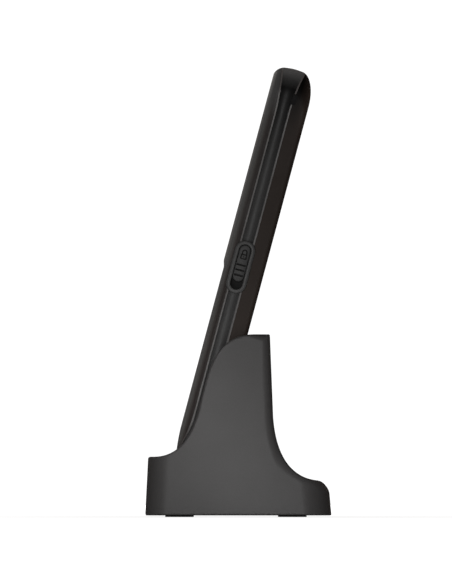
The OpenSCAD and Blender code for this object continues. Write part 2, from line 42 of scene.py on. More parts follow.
# the handset leans back about its seat; its own axes are x, depth from the face, and height
LEAN = math.radians(15)
SEAT = (0, -21.81, 14.77)
HW, LEN, THICK = 27.5, 130.0, 12.9
CORNER = 9
STRETCH = 1.02  # depths grow this much about the middle, so that the skin encloses the CAD shells
FACE_INSET, FACE_TOP, FACE_FOOT, FACE_ROUND = 3.2, 2.9, 3, 3.1
BACK_INSET, BACK_TOP, BACK_START = 1.2, 9.9, 8.2
TRIM_HALF = 0.225  # half width of the trim lines
SWITCH_Y, SWITCH_Z, BEZEL_LEN, BEZEL_W = 5.55, 66.45, 16.8, 6.25
ROCKER_Y, ROCKER_Z = 5.59, 95
NOTCH_Z = 120.9
CASE_END, COVER_START = 41.95, 42.5  # the two edges of the gap below the battery cover
# the cradle's half width, half depth, and the heights of its cheeks, front lip and rear shelf
CW, CD, TOP, LIP, SHELF = 34.5, 28.9, 56.65, 18.6, 11.6
FOOT_GAP = 0.5

# ---------------------------------------------------------------- camera and light

cam_data = bpy.data.cameras.new("camera")
cam_data.lens = 1100
cam_data.sensor_width = 36
cam_data.clip_end = 60
cam = bpy.data.objects.new("camera", cam_data)
bpy.context.scene.collection.objects.link(cam)
# low side view, turned up by half a degree to centre the object
cam.location = (5.561, -0.00383, 0.020)
cam.rotation_euler = (math.pi / 2 + math.atan(0.04975 / 5.531), 0, math.pi / 2)
bpy.context.scene.camera = cam
bpy.context.scene.view_settings.view_transform = "Standard"
bpy.context.scene.view_settings.look = "None"


def area_light(name, place, target, size, power, colour=(1, 1, 1), glossy=True):
    data = bpy.data.lights.new(name, "AREA")
    data.shape = "RECTANGLE"
    data.size, data.size_y = size
    data.energy = power
    data.color = colour
    light = bpy.data.objects.new(name, data)
    bpy.context.scene.collection.objects.link(light)
    light.location = place
    light.rotation_euler = (Vector(target) - Vector(place)).to_track_quat("-Z", "Y").to_euler()
    light.visible_camera = False
    light.visible_glossy = glossy
    return light


MID = (0, 0, 0.05)
WARM = (1.0, 0.82, 0.74)
area_light("key", (1.2, -0.10, 0.20), MID, (0.5, 0.5), 3.8)
area_light("front_fill", (-1.0, -0.62, 0.35), MID, (0.6, 0.6), 3.6, (1.0, 0.95, 0.92), False)
area_light("top", (-0.35, -0.15, 0.95), MID, (0.6, 0.6), 1.9, (1.0, 0.97, 0.96), False)
area_light("rear_fill", (-1.0, 0.65, 0.35), MID, (0.6, 0.6), 2.6, WARM, False)
area_light("left_fill", (-1.2, 0.0, 0.20), MID, (0.5, 0.5), 5.5, (1, 1, 1), False)
# strip close to the cheek, for the soft diagonal band of light on it
STRIP_Y, STRIP_Z = -0.004, 0.0235
strip = area_light("strip", (0.08, STRIP_Y, STRIP_Z), (0, STRIP_Y, STRIP_Z), (0.10, 0.012), 0.0135)
along = Vector((0, 0.6, -0.8))
strip.matrix_world = Matrix.Translation(strip.location) @ Matrix((
    along, Vector((1, 0, 0)).cross(along), (1, 0, 0))).transposed().to_4x4()


def white_for_camera(tree, shown, lighting):
    """A white that the camera sees, and a weaker one that lights the scene."""
    mix = tree.nodes.new("ShaderNodeMixShader")
    path = tree.nodes.new("ShaderNodeLightPath")
    tree.links.new(path.outputs["Is Camera Ray"], mix.inputs["Fac"])
    tree.links.new(lighting.outputs[0], mix.inputs[1])
    tree.links.new(shown.outputs[0], mix.inputs[2])
    return mix


world = bpy.data.worlds.new("studio")
bpy.context.scene.world = world
world.use_nodes = True
tree = world.node_tree
tree.nodes.clear()
seen = tree.nodes.new("ShaderNodeBackground")
seen.inputs["Strength"].default_value = 1.1
seen.inputs["Color"].default_value = (1, 1, 1, 1)
ambient = tree.nodes.new("ShaderNodeBackground")
ambient.inputs["Strength"].default_value = 0.04
ambient.inputs["Color"].default_value = (*WARM, 1)
out = tree.nodes.new("ShaderNodeOutputWorld")
tree.links.new(white_for_camera(tree, seen, ambient).outputs[0], out.inputs["Surface"])

# ---------------------------------------------------------------- materials


def srgb(*c):
    """0-255 display values as linear colour."""
    out = []
    for v in c:
        v /= 255
        out.append(v / 12.92 if v <= 0.04045 else ((v + 0.055) / 1.055) ** 2.4)
    return (*out, 1.0)


class Mat:
    """A small wrapper round a material's node tree."""

    def __init__(self, name, rough=0.5, metal=0.0, spec=0.5, coat=0.0):
        self.m = bpy.data.materials.new(name)
        self.m.use_nodes = True
        self.t = self.m.node_tree
        self.bsdf = self.t.nodes["Principled BSDF"]
        self.bsdf.inputs["Roughness"].default_value = rough
        self.bsdf.inputs["Metallic"].default_value = metal
        self.bsdf.inputs["Specular IOR Level"].default_value = spec
        self.bsdf.inputs["Coat Weight"].default_value = coat
        self.coord = self.node("ShaderNodeTexCoord").outputs["Object"]

    def node(self, kind, **values):
        n = self.t.nodes.new(kind)
        for k, v in values.items():
            setattr(n, k, v)
        return n

    def link(self, a, b):
        self.t.links.new(a, b)

    def noise(self, scale, detail=3, stretch=None):
        n = self.node("ShaderNodeTexNoise")
        n.inputs["Scale"].default_value = scale
        n.inputs["Detail"].default_value = detail
        src = self.coord
        if stretch:
            mp = self.node("ShaderNodeMapping")
            mp.inputs["Scale"].default_value = stretch
            self.link(src, mp.inputs["Vector"])
            src = mp.outputs[0]
        self.link(src, n.inputs["Vector"])
        return n.outputs["Fac"]

    def ramp(self, fac, stops):
        r = self.node("ShaderNodeValToRGB")
        e = r.color_ramp.elements
        e[0].position, e[0].color = stops[0]
        e[1].position, e[1].color = stops[-1]
        for pos, col in stops[1:-1]:
            e.new(pos).color = col
        self.link(fac, r.inputs["Fac"])
        return r.outputs["Color"]

    def remap(self, fac, a, b, c, d):
        r = self.node("ShaderNodeMapRange")
        for i, v in enumerate((a, b, c, d)):
            r.inputs[i + 1].default_value = v
        self.link(fac, r.inputs[0])
        return r.outputs[0]

    def handset_axis(self, y, z, offset):
        """A handset coordinate in mm: depth from the face, or height."""
        n = self.node("ShaderNodeVectorMath", operation="DOT_PRODUCT")
        self.link(self.coord, n.inputs[0])
        n.inputs[1].default_value = (0, 1000 * y, 1000 * z)
        return self.math("SUBTRACT", n.outputs["Value"], offset)

    def depth(self):
        c, s = math.cos(LEAN), math.sin(LEAN)
        return self.handset_axis(c, -s, SEAT[1] * c - SEAT[2] * s)

    def height(self):
        c, s = math.cos(LEAN), math.sin(LEAN)
        return self.handset_axis(s, c, SEAT[1] * s + SEAT[2] * c)

    def math(self, operation, a, b):
        n = self.node("ShaderNodeMath", operation=operation)
        for socket, v in zip(n.inputs, (a, b)):
            if isinstance(v, bpy.types.NodeSocket):
                self.link(v, socket)
            else:
                socket.default_value = v
        return n.outputs[0]

    def tint(self, factor):
        """Multiplies the base colour that is already linked by a colour or a number."""
        old = self.bsdf.inputs["Base Color"].links[0].from_socket
        return self.colour(self.mix(1.0, old, factor, "MULTIPLY"))

    def mix(self, fac, a, b, blend="MIX"):
        n = self.node("ShaderNodeMix", data_type="RGBA", blend_type=blend)
        for socket, v in ((n.inputs[0], fac), (n.inputs[6], a), (n.inputs[7], b)):
            if isinstance(v, bpy.types.NodeSocket):
                self.link(v, socket)
            else:
                socket.default_value = v
        return n.outputs[2]

    def colour(self, c):
        self.link(c, self.bsdf.inputs["Base Color"])
        return self

    def rough(self, r):
        self.link(r, self.bsdf.inputs["Roughness"])
        return self

    def bump(self, height, strength=0.2, distance=0.0001):
        b = self.node("ShaderNodeBump")
        b.inputs["Strength"].default_value = strength
        b.inputs["Distance"].default_value = distance
        self.link(height, b.inputs["Height"])
        self.link(b.outputs[0], self.bsdf.inputs["Normal"])
        return self


def grey(v):
    return (v, v, v, 1)


def lit(r, g, b):
    """Tone of a handset part, which stands above the strip light and gets less of it."""
    return shade(srgb(r, g, b), 1.38)


def shade(c, k):
    return (c[0] * k, c[1] * k, c[2] * k, 1)


def plastic(name, c, rough=0.5, grain=3500, depth=0.25, spec=0.4, vary=0.10, coat=0.0, speck=0.1):
    """Moulded plastic: eroded grain, slightly uneven tone and gloss."""
    m = Mat(name, rough, 0, spec, coat)
    blotch = m.noise(70, 4)
    tone = m.ramp(blotch, [(0.3, shade(c, 1 - vary)), (0.7, shade(c, 1 + vary))])
    fleck = m.ramp(m.noise(2600, 2), [(0.35, grey(1 - speck)), (0.65, grey(1 + speck))])
    m.colour(m.mix(1.0, tone, fleck, "MULTIPLY"))
    m.rough(m.remap(m.noise(160, 5), 0.3, 0.7, rough - speck / 2, rough + speck / 2))
    m.bump(m.noise(grain, 2), depth, 0.00004)
    return m


def metal(name, c, rough=0.3, stretch=(300, 6000, 6000)):
    m = Mat(name, rough, 1.0, 0.5)
    streak = m.noise(1.0, 3, stretch)
    m.colour(m.ramp(streak, [(0.3, shade(c, 0.82)), (0.7, shade(c, 1.08))]))
    m.rough(m.remap(streak, 0.3, 0.7, rough - 0.07, rough + 0.1))
    m.bump(streak, 0.12, 0.00003)
    return m


def rubber(name, c):
    return plastic(name, c, 0.78, 2200, 0.45, 0.25, 0.14)


CRADLE = plastic("cradle_plastic", srgb(81, 80, 80), 0.46, 3000, 0.08, 0.24, 0.012, 0, 0.03)
BASE = plastic("base_plastic", srgb(52, 49, 47), 0.6, 2600, 0.35, 0.25)
TRIM = plastic("trim_plastic", lit(77, 74, 73), 0.36, 5200, 0.05, 0.3, 0.05)
BEZEL = plastic("bezel_plastic", lit(76, 76, 76), 0.45, 4200, 0.12, 0.25, 0.05)
KNOB = plastic("knob_plastic", lit(58, 58, 58), 0.48, 4200, 0.14, 0.25, 0.05)
DARK = plastic("slot_plastic", srgb(22, 21, 21), 0.6, 3000, 0.3, 0.15)
KEYS = plastic("key_plastic", srgb(44, 43, 43), 0.42, 5200, 0.10, 0.3, 0.05)
GREEN = plastic("key_green_plastic", srgb(36, 112, 58), 0.38, 5200, 0.10, 0.45)
RED = plastic("key_red_plastic", srgb(150, 34, 32), 0.38, 5200, 0.10, 0.45)
INK = plastic("legend_ink", srgb(214, 216, 214), 0.45, 6000, 0.05, 0.3, 0.03)
FOOT = rubber("foot_rubber", srgb(76, 68, 62))
MAT = rubber("silicone", srgb(150, 152, 153))
SPEAKER = plastic("speaker_plastic", srgb(34, 34, 36), 0.6)
STEEL = metal("steel", srgb(186, 188, 192), 0.30)
ALLOY = metal("cast_alloy", srgb(150, 152, 156), 0.5, (900, 900, 900))
TUNGSTEN = metal("tungsten", srgb(112, 110, 106), 0.5, (1500, 1500, 1500))
ZINC = metal("zinc_plate", srgb(140, 142, 146), 0.42, (500, 500, 500))
GOLD = metal("gold", srgb(222, 184, 96), 0.24)


def front_shell_material():
    """Graphite front with painted light: painted lighter where the face turns forward, falling off to
    painted shade on the umber side walls, and a graphite top with its own painted fall-off.
    """
    m = Mat("front_shell_plastic", 0.5, 0, 0.18)
    fall = m.remap(m.depth(), 0.0, 3.4, 0, 1)
    # painted shading by depth from the face: a painted highlight at the front edge, painted shade towards
    # the trim
    side = m.ramp(fall, [(0.0, lit(132, 131, 129)), (0.2, lit(98, 98, 97)), (0.36, lit(90, 89, 88)),
                         (0.53, lit(70, 67, 65)), (0.7, lit(47, 42, 41)), (0.85, lit(41, 36, 34))])
    # the top cap: painted highlight at the face, painted shade further back
    cap = m.ramp(fall, [(0.0, lit(150, 150, 148)), (0.3, lit(86, 86, 86)), (1.0, lit(60, 59, 59))])
    base = m.mix(m.remap(m.height(), 114, 122, 0, 1), side, cap)
    fleck = m.ramp(m.noise(2600, 2), [(0.35, grey(0.93)), (0.65, grey(1.07))])
    m.colour(m.mix(1.0, base, fleck, "MULTIPLY"))
    m.rough(m.remap(m.noise(160, 5), 0.3, 0.7, 0.44, 0.56))
    m.bump(m.noise(4200, 2), 0.15, 0.00004)
    return m


def band_material():
    """Satin band with painted shade that deepens to black in the hollow under the top cap, and a painted
    highlight where it meets the cap.
    """
    m = plastic("band_plastic", lit(63, 63, 63), 0.42, 4200, 0.08, 0.18, 0.05)
    up = m.remap(m.height(), 96, 130, 0, 1)
    # painted shade darkening up towards the cap, then a painted highlight at the very top
    return m.tint(m.ramp(up, [(0.0, grey(0.95)), (0.4, grey(0.62)), (0.68, grey(0.34)), (0.82, grey(0.16)),
                              (0.90, grey(0.95)), (1.0, grey(3.0))]))


def cover_material():
    """Umber plastic with painted shade going to black behind the trim near the top, and a painted highlight
    towards the back edge.
    """
    m = plastic("cover_plastic", lit(46, 39, 35), 0.58, 3600, 0.18, 0.18, 0.03, 0, 0.05)
    up = m.remap(m.height(), 109, 124, 0, 1)
    back = m.math("SUBTRACT", m.depth(), 8.2)
    # painted shade by depth behind the trim, only near the top: black close to the trim, a painted
    # highlight far from it
    painted_top_shade = m.ramp(m.remap(back, 0, 4.6, 0, 1), [(0.0, grey(0.02)), (0.3, grey(0.05)), (0.62, grey(0.75)),
                                                 (1.0, grey(2.4))])
    return m.tint(m.mix(up, grey(1.0), painted_top_shade))


def screen_glass():
    m = Mat("screen_glass", 0.08, 0, 0.5, 0.6)
    m.colour(m.ramp(m.noise(40, 3), [(0.3, srgb(10, 10, 12)), (0.7, srgb(15, 15, 17))]))
    m.rough(m.remap(m.noise(300, 4), 0.3, 0.7, 0.05, 0.13))
    return m


def display_area():
    m = Mat("display_area", 0.12, 0, 0.5, 0.5)
    m.colour(m.ramp(m.noise(9000, 1), [(0.3, srgb(28, 32, 36)), (0.7, srgb(36, 41, 46))]))
    m.rough(m.remap(m.noise(300, 4), 0.3, 0.7, 0.1, 0.18))
    return m


def circuit_board():
    m = Mat("circuit_board", 0.35, 0, 0.5)
    bricks = m.node("ShaderNodeTexBrick")
    bricks.inputs["Scale"].default_value = 420
    bricks.inputs["Mortar Size"].default_value = 0.03
    for i, c in enumerate((srgb(20, 84, 44), srgb(24, 96, 50), srgb(60, 130, 70))):
        bricks.inputs[i + 1].default_value = c
    m.link(m.coord, bricks.inputs["Vector"])
    m.colour(bricks.outputs["Color"])
    m.rough(m.remap(m.noise(500, 3), 0.3, 0.7, 0.28, 0.45))
    m.bump(bricks.outputs["Fac"], 0.2, 0.00003)
    return m


def battery_wrap():
    m = Mat("battery_wrap", 0.42, 0, 0.4)
    m.colour(m.ramp(m.noise(60, 3), [(0.3, srgb(46, 52, 62)), (0.7, srgb(58, 64, 74))]))
    m.rough(m.remap(m.noise(220, 5), 0.3, 0.7, 0.34, 0.5))
    m.bump(m.noise(700, 4), 0.25, 0.00006)
    return m


def lcd_glass():
    m = Mat("lcd_glass", 0.12, 0, 0.5)
    m.colour(m.ramp(m.noise(4000, 1), [(0.3, srgb(70, 82, 84)), (0.7, srgb(88, 100, 102))]))
    m.rough(m.remap(m.noise(200, 3), 0.3, 0.7, 0.08, 0.2))
    return m


# the trims keep their brightness up to the top, where less light falls
TRIM.tint(TRIM.ramp(TRIM.remap(TRIM.height(), 104, 128, 0, 1), [(0.0, grey(1.0)), (1.0, grey(1.6))]))
FRONT = front_shell_material()
BAND = band_material()
COVER = cover_material()

# ---------------------------------------------------------------- mesh tools (millimetres)


def in_row(p):
    """Handset coordinates (x, depth from the face, height) in mm to the row frame in m."""
    p = np.asarray(p, float)
    c, s = math.cos(LEAN), math.sin(LEAN)
    y = THICK / 2 + (p[:, 1] - THICK / 2) * STRETCH
    return np.stack([p[:, 0], SEAT[1] + y * c + p[:, 2] * s, SEAT[2] - y * s + p[:, 2] * c], 1) / 1000


def add_piece(name, verts, faces, mat, body, slot=None, replaces=(), sharp=38, handset=True):
    me = bpy.data.meshes.new(name)
    pts = in_row(verts) if handset else np.asarray(verts, float) / 1000
    me.from_pydata([tuple(p) for p in pts], [], [tuple(int(i) for i in f) for f in faces])
    me.validate()
    me.polygons.foreach_set("use_smooth", [True] * len(me.polygons))
    me.set_sharp_from_angle(angle=math.radians(sharp))
    me.materials.append(mat.m)
    o = bpy.data.objects.new(name, me)
    bpy.context.scene.collection.objects.link(o)
    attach(o, body)
    if replaces:
        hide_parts(*replaces)
    return o


def rounded(hw, hh, r, cx=0.0, cz=0.0, n_w=1, n_h=1, n_c=6):
    """Rounded rectangle, counter-clockwise from the lower end of its right side."""
    r = min(r, hw, hh)
    out = []

    def line(a, b, n):
        for i in range(n):
            t = i / n
            out.append((a[0] + (b[0] - a[0]) * t, a[1] + (b[1] - a[1]) * t))

    def arc(x, z, a0):
        for i in range(n_c):
            a = math.radians(a0 + 90 * i / n_c)
            out.append((x + r * math.cos(a), z + r * math.sin(a)))

    line((hw, r - hh), (hw, hh - r), n_h)
    arc(hw - r, hh - r, 0)
    line((hw - r, hh), (r - hw, hh), n_w)
    arc(r - hw, hh - r, 90)
    line((-hw, hh - r), (-hw, r - hh), n_h)
    arc(r - hw, r - hh, 180)
    line((r - hw, -hh), (hw - r, -hh), n_w)
    arc(hw - r, r - hh, 270)
    return np.array(out) + (cx, cz)


def loft(rings, closed=False):
    """Skin over rings of equal length. An open loft gets flat caps."""
    n = len(rings[0])
    verts = np.concatenate(rings)
    faces = []
    last = len(rings) if closed else len(rings) - 1
    for j in range(last):
        a, b = j * n, ((j + 1) % len(rings)) * n
        for i in range(n):
            k = (i + 1) % n
            faces.append((a + i, a + k, b + k, b + i))
    if not closed:
        faces.append(tuple(range(n))[::-1])
        faces.append(tuple(range((len(rings) - 1) * n, len(rings) * n)))
    return verts, faces


def at_depth(outline, depth):
    """An (x, z) outline as a ring at one depth, or at a depth for each point."""
    d = np.broadcast_to(depth, len(outline))
    return np.stack([outline[:, 0], d, outline[:, 1]], 1)


def slot_distance(y, z, length, width):
    """Signed distance to a round-ended slot about the origin, long in z."""
    h = (length - width) / 2
    return np.hypot(y, z - np.clip(z, -h, h)) - width / 2


def box_distance(x, z, hw, hh, r):
    qx, qz = np.abs(x) - hw + r, np.abs(z) - hh + r
    return np.hypot(np.maximum(qx, 0), np.maximum(qz, 0)) + np.minimum(np.maximum(qx, qz), 0) - r


class Skin:
    """A polygon surface that can be cut along level curves of functions of position."""

    def __init__(self, points, inward, faces):
        self.p, self.n, self.f = points, inward, faces

    def split(self, func):
        f = func(self.p)
        f = np.where(np.abs(f) < 1e-5, 0.0, f)
        sign = np.sign(f)
        pts, inw, made, out = [], [], {}, []
        base = len(self.p)
        for face in self.f:
            s = [sign[v] for v in face]
            if min(s) >= 0 or max(s) <= 0:
                out.append(face)
                continue
            ring, zero = [], []
            m = len(face)
            for i, v in enumerate(face):
                w = face[(i + 1) % m]
                if sign[v] == 0:
                    zero.append(len(ring))
                ring.append(v)
                if sign[v] * sign[w] < 0:
                    key = (v, w) if v < w else (w, v)
                    if key not in made:
                        t = f[key[0]] / (f[key[0]] - f[key[1]])
                        pts.append(self.p[key[0]] * (1 - t) + self.p[key[1]] * t)
                        inw.append(self.n[key[0]] * (1 - t) + self.n[key[1]] * t)
                        made[key] = base + len(pts) - 1
                    zero.append(len(ring))
                    ring.append(made[key])
            if len(zero) == 2 and zero[1] - zero[0] > 1 and len(ring) - zero[1] + zero[0] > 1:
                out.append(tuple(ring[zero[0]:zero[1] + 1]))
                out.append(tuple(ring[zero[1]:] + ring[:zero[0] + 1]))
            else:
                out.append(tuple(ring))
        p = np.vstack([self.p, np.array(pts)]) if pts else self.p
        n = np.vstack([self.n, np.array(inw)]) if inw else self.n
        return Skin(p, n, out)

    def keep(self, func):
        """Only the faces whose middle has func > 0."""
        mid = np.array([self.p[list(f)].mean(0) for f in self.f])
        ok = func(mid) > 0
        faces = [f for f, k in zip(self.f, ok) if k]
        used = sorted({v for f in faces for v in f})
        new = {v: i for i, v in enumerate(used)}
        return Skin(self.p[used], self.n[used], [tuple(new[v] for v in f) for f in faces])

    def cut(self, func):
        """Splits along func = 0 and drops the side where func < 0."""
        return self.split(func).keep(func)

    def sink(self, depth):
        """Moves each point inwards by depth(points)."""
        return Skin(self.p + self.n * depth(self.p)[:, None], self.n, self.f)

    def solid(self, wall, base=None):
        """Closed shell: this surface outside, and base's points moved inwards by wall inside."""
        inner = (self.p if base is None else base) + self.n * wall
        k = len(self.p)
        count = {}
        for f in self.f:
            for i, v in enumerate(f):
                count[(v, f[(i + 1) % len(f)])] = 1
        faces = list(self.f) + [tuple(v + k for v in reversed(f)) for f in self.f]
        for a, b in list(count):
            if (b, a) not in count:
                faces.append((b, a, a + k, b + k))
        return np.vstack([self.p, inner]), faces


# ---------------------------------------------------------------- handset skin

def ease(t):
    t = np.clip(t, 0, 1)
    return t * t * (3 - 2 * t)


def face_depth(z):
    return 0.53 * (1 - ease((z - 65.1) / 2.3)) + np.maximum(14.6 - z, 0) ** 2 / 118


def front_trim(z):
    return (3.55 - 1.3 * (np.maximum(z - 113.8, 0) / 15.3) ** 2
            - np.maximum(19.3 - z, 0) ** 2 / 70)


def rear_trim(z):
    return 7.63 + 1.4 * (np.maximum(z - 116, 0) / 13) ** 2


def handset_skin():
    rings = []

    def ring(hw, zb, zt, r, depth):
        """One closed ring: half width, bottom, top, corner radius and depth by height."""
        o = rounded(hw, (zt - zb) / 2, r, 0, (zt + zb) / 2, 56, 150, 10)
        rings.append(at_depth(o, depth(o[:, 1])))

    # face, from a line in the middle to its rim
    face_half = HW - FACE_INSET
    for t in np.linspace(0, 1, 27):
        d = face_half * (1 - t)
        ring(face_half - d, FACE_FOOT + d, LEN - FACE_TOP - d, (CORNER - FACE_INSET) * t, face_depth)
    # front rounding; its top corner is cut a little straighter than a quarter ellipse
    for a in np.linspace(0, math.pi / 2, 10)[1:]:
        e, d = 1 - math.sin(a), FACE_ROUND * (1 - math.cos(a))
        cut = 1 - (1 - max(math.cos(a), 0) ** 1.7) ** (1 / 1.7)
        ring(HW - FACE_INSET * e, FACE_FOOT * e, LEN - FACE_TOP * cut, CORNER - FACE_INSET * e,
             lambda z: face_depth(z) + d)
    # sides, with a slightly bulging top
    for v in np.linspace(0, 1, 19)[1:]:
        bulge = 0.24 * math.sin(math.pi * v * 0.9)
        ring(HW, 0, LEN + bulge, CORNER, lambda z: (1 - v) * (face_depth(z) + FACE_ROUND) + v * BACK_START)
    # rear rounding: a long one at the top, small ones at the sides and the foot
    for a in np.linspace(0, math.pi / 2, 23)[1:]:
        y = BACK_START + (THICK - BACK_START) * math.sin(a)
        side_in = y - THICK + BACK_INSET
        ex = BACK_INSET - math.sqrt(max(BACK_INSET ** 2 - max(side_in, 0) ** 2, 0))
        eb = FACE_FOOT - FACE_FOOT * math.sqrt(max(1 - (max(y - 10.4, 0) / 2.5) ** 2, 0))
        ring(HW - ex, eb, LEN - BACK_TOP + 9.97 * math.cos(a), CORNER - ex, lambda z: y + 0 * z)
    # back, to a line in the middle
    back_half = HW - BACK_INSET
    for t in np.linspace(0, 1, 23)[1:]:
        d = back_half * t
        ring(back_half - d, FACE_FOOT + d, LEN - BACK_TOP - d, (CORNER - BACK_INSET) * (1 - t),
             lambda z: THICK + 0 * z)
    n = len(rings[0])
    verts = np.concatenate(rings)
    _, first, where = np.unique(np.round(verts, 4), axis=0, return_index=True, return_inverse=True)
    where = where.ravel()
    verts = verts[first]
    faces = []
    for j in range(len(rings) - 1):
        for i in range(n):
            k = (i + 1) % n
            f = [where[j * n + i], where[j * n + k], where[(j + 1) * n + k], where[(j + 1) * n + i]]
            f = [v for q, v in enumerate(f) if v != f[q - 1]]
            if len(f) > 2 and len(set(f)) == len(f):
                faces.append(tuple(int(v) for v in f))
    # inward directions from the faces' area vectors
    inward = np.zeros_like(verts)
    for f in faces:
        p = verts[list(f)]
        v = np.cross(p[2] - p[0], p[-1] - p[1]) if len(f) == 4 else np.cross(p[1] - p[0], p[2] - p[0])
        for q in f:
            inward[q] += v
    inward /= np.linalg.norm(inward, axis=1)[:, None] + 1e-12
    mid = verts - np.array([0, 6.5, 65])
    if (inward * mid).sum() > 0:
        inward = -inward
    else:
        faces = [f[::-1] for f in faces]
    return Skin(verts, inward, faces)


KEY_W, KEY_H, SIDE_H = 13.4, 8.6, 4.8
COLS = (-15.2, 0.0, 15.2)
NUMBER_KEYS = [(n, COLS[i % 3], 14 + 10.4 * (i // 3)) for i, n in enumerate(
    ["key_star", "key_0", "key_hash", "key_7", "key_8", "key_9",
     "key_4", "key_5", "key_6", "key_1", "key_2", "key_3"])]
SIDE_KEYS = [("key_call", -15.2, 54.3), ("key_end", 15.2, 54.3),
             ("softkey_left", -15.2, 60.7), ("softkey_right", 15.2, 60.7)]
NAV = (0.0, 57.5, 12.6, 11.4)
WINDOW_Z = 95.0


def key_gaps(p):
    x, z = p[:, 0], p[:, 2]
    d = [box_distance(x - kx, z - kz, KEY_W / 2 + 0.2, KEY_H / 2 + 0.2, 1.8) for _, kx, kz in NUMBER_KEYS]
    d += [box_distance(x - kx, z - kz, KEY_W / 2 + 0.2, SIDE_H / 2 + 0.2, 1.8) for _, kx, kz in SIDE_KEYS]
    d.append(box_distance(x - NAV[0], z - NAV[1], NAV[2] / 2 + 0.35, NAV[3] / 2 + 0.35, 2.6))
    d.append(box_distance(x, z - 124, 6.5, 0.9, 0.9))
    return np.min(d, axis=0)


def window_gap(p):
    return box_distance(p[:, 0], p[:, 2] - WINDOW_Z, 21.65, 25.15, 2.5)


def bezel_gap(p):
    d = slot_distance(p[:, 1] - SWITCH_Y, p[:, 2] - SWITCH_Z, BEZEL_LEN + 0.1, BEZEL_W + 0.1)
    return np.where(p[:, 0] > 22, d, 9.0)


def rocker_gap(p):
    d = slot_distance(p[:, 1] - ROCKER_Y, p[:, 2] - ROCKER_Z, 16.6, 2.7)
    return np.where(p[:, 0] < -22, d, 9.0)


def notch_gap(p):
    y = p[:, 1] - rear_trim(p[:, 2])
    d = box_distance(y - 0.25, p[:, 2] - NOTCH_Z, 0.85, 1.75, 0.3)
    return np.where(p[:, 0] > 22, d, 9.0)


def lip(func, sizes, depth):
    """Rounded fall of a surface towards an opening: depth at the edge, 0 at sizes[-1] away."""
    reach = sizes[-1]

    def sink(p):
        t = np.clip(1 - func(p) / reach, 0, 1)
        return depth * (1 - np.sqrt(np.maximum(1 - t * t, 0)))
    return sink


def with_lips(skin, func, sizes, depth):
    """Cuts an opening and rounds its edge."""
    for s in reversed(sizes):
        skin = skin.split(lambda p, s=s: func(p) - s)
    skin = skin.cut(func)
    return skin, lip(func, sizes, depth)


def on_face(gap):
    """An opening's distance, which counts only near the face."""
    return lambda p: np.where(p[:, 1] < 3, gap(p), 9.0)


skin = handset_skin()
for curve in (front_trim, rear_trim):
    for edge in (-TRIM_HALF, TRIM_HALF):
        skin = skin.split(lambda p: p[:, 1] - curve(p[:, 2]) - edge)
skin = skin.cut(bezel_gap).cut(rocker_gap)

# front shell with its openings
front = skin.keep(lambda p: front_trim(p[:, 2]) - TRIM_HALF - p[:, 1])
front = front.cut(lambda p: front_trim(p[:, 2]) - TRIM_HALF - 0.03 - p[:, 1])
front, fall_keys = with_lips(front, on_face(key_gaps), (0.1, 0.25, 0.45), 0.4)
front, fall_window = with_lips(front, on_face(window_gap), (0.08, 0.2), 0.18)
base = front.p.copy()
shaped = front.sink(lambda p: fall_keys(p) + fall_window(p))
v, f = shaped.solid(1.35, base)
add_piece("front_shell", v, f, FRONT, "handset", "shell_graphite", ["handset_front_shell"])

# the two trim lines stand a hair proud of what they border
for name, curve in (("front_trim", front_trim), ("rear_trim", rear_trim)):
    t = skin.keep(lambda p: TRIM_HALF - np.abs(p[:, 1] - curve(p[:, 2])))
    if name == "rear_trim":
        t = t.cut(notch_gap)
    v, f = t.solid(1.3)
    add_piece(name, v, f, TRIM, "handset", "trim_grey", [name + "_ring"])

# side band: sunk between the trims, crowned, and flush at the top cap
band = skin.keep(lambda p: np.minimum(p[:, 1] - front_trim(p[:, 2]) - TRIM_HALF,
                                      rear_trim(p[:, 2]) - TRIM_HALF - p[:, 1]))


def bottom_parts(p):
    d = box_distance(p[:, 0], p[:, 1] - 5.8, 4.1, 1.5, 0.5)
    for s in (-1, 1):
        d = np.minimum(d, box_distance(p[:, 0] - s * 7.5, p[:, 1] - 5.8, 2.6, 1.3, 0.3))
    d = np.minimum(d, np.hypot(p[:, 0] - 14, p[:, 1] - 5.6) - 0.5)
    return np.where(p[:, 2] < 2, d, 9.0)


band = band.cut(bottom_parts).cut(notch_gap)
for frac in (0.06, 0.14, 0.3, 0.7, 0.86, 0.94):
    band = band.split(lambda p: p[:, 1] - (front_trim(p[:, 2]) + TRIM_HALF) * (1 - frac)
                      - (rear_trim(p[:, 2]) - TRIM_HALF) * frac)


def band_sink(p):
    a, b = front_trim(p[:, 2]) + TRIM_HALF, rear_trim(p[:, 2]) - TRIM_HALF
    t = np.clip((p[:, 1] - a) / (b - a), 0, 1)
    crown = 0.62 * (2 * t - 1) ** 2 + 0.12
    crown = crown * np.clip(np.minimum(t, 1 - t) / 0.02, 0.75, 1)
    return crown * (1 - ease((p[:, 2] - 124.5) / 4.5))


base = band.p.copy()
v, f = band.sink(band_sink).solid(1.5, base)
add_piece("band", v, f, BAND, "handset", "band_charcoal", ["side_band"])

# rear half: fixed lower part and battery cover
rear = skin.cut(lambda p: p[:, 1] - rear_trim(p[:, 2]) - TRIM_HALF - 0.06)


def sound_slots(height, half_long, columns):
    """A row of upright slots in the back."""
    def gap(p):
        d = [box_distance(p[:, 0] - 2.2 * i, p[:, 2] - height, 0.5, half_long, 0.5) for i in columns]
        return np.where(p[:, 1] > 11, np.min(d, axis=0), 9.0)
    return gap


lower = rear.cut(lambda p: CASE_END - p[:, 2])
lower, fall = with_lips(lower, sound_slots(36, 3, range(-2, 3)), (0.08, 0.2), 0.2)


def lower_sink(p):
    """The slots' lips, and a rounded upper edge that clears the cover as it swings."""
    return fall(p) + 0.3 * (1 - np.clip((CASE_END - p[:, 2]) / 0.7, 0, 1)) ** 2


base = lower.p.copy()
v, f = lower.sink(lower_sink).solid(1.1, base)
add_piece("rear_case", v, f, COVER, "handset", "cover_umber", ["rear_housing"])

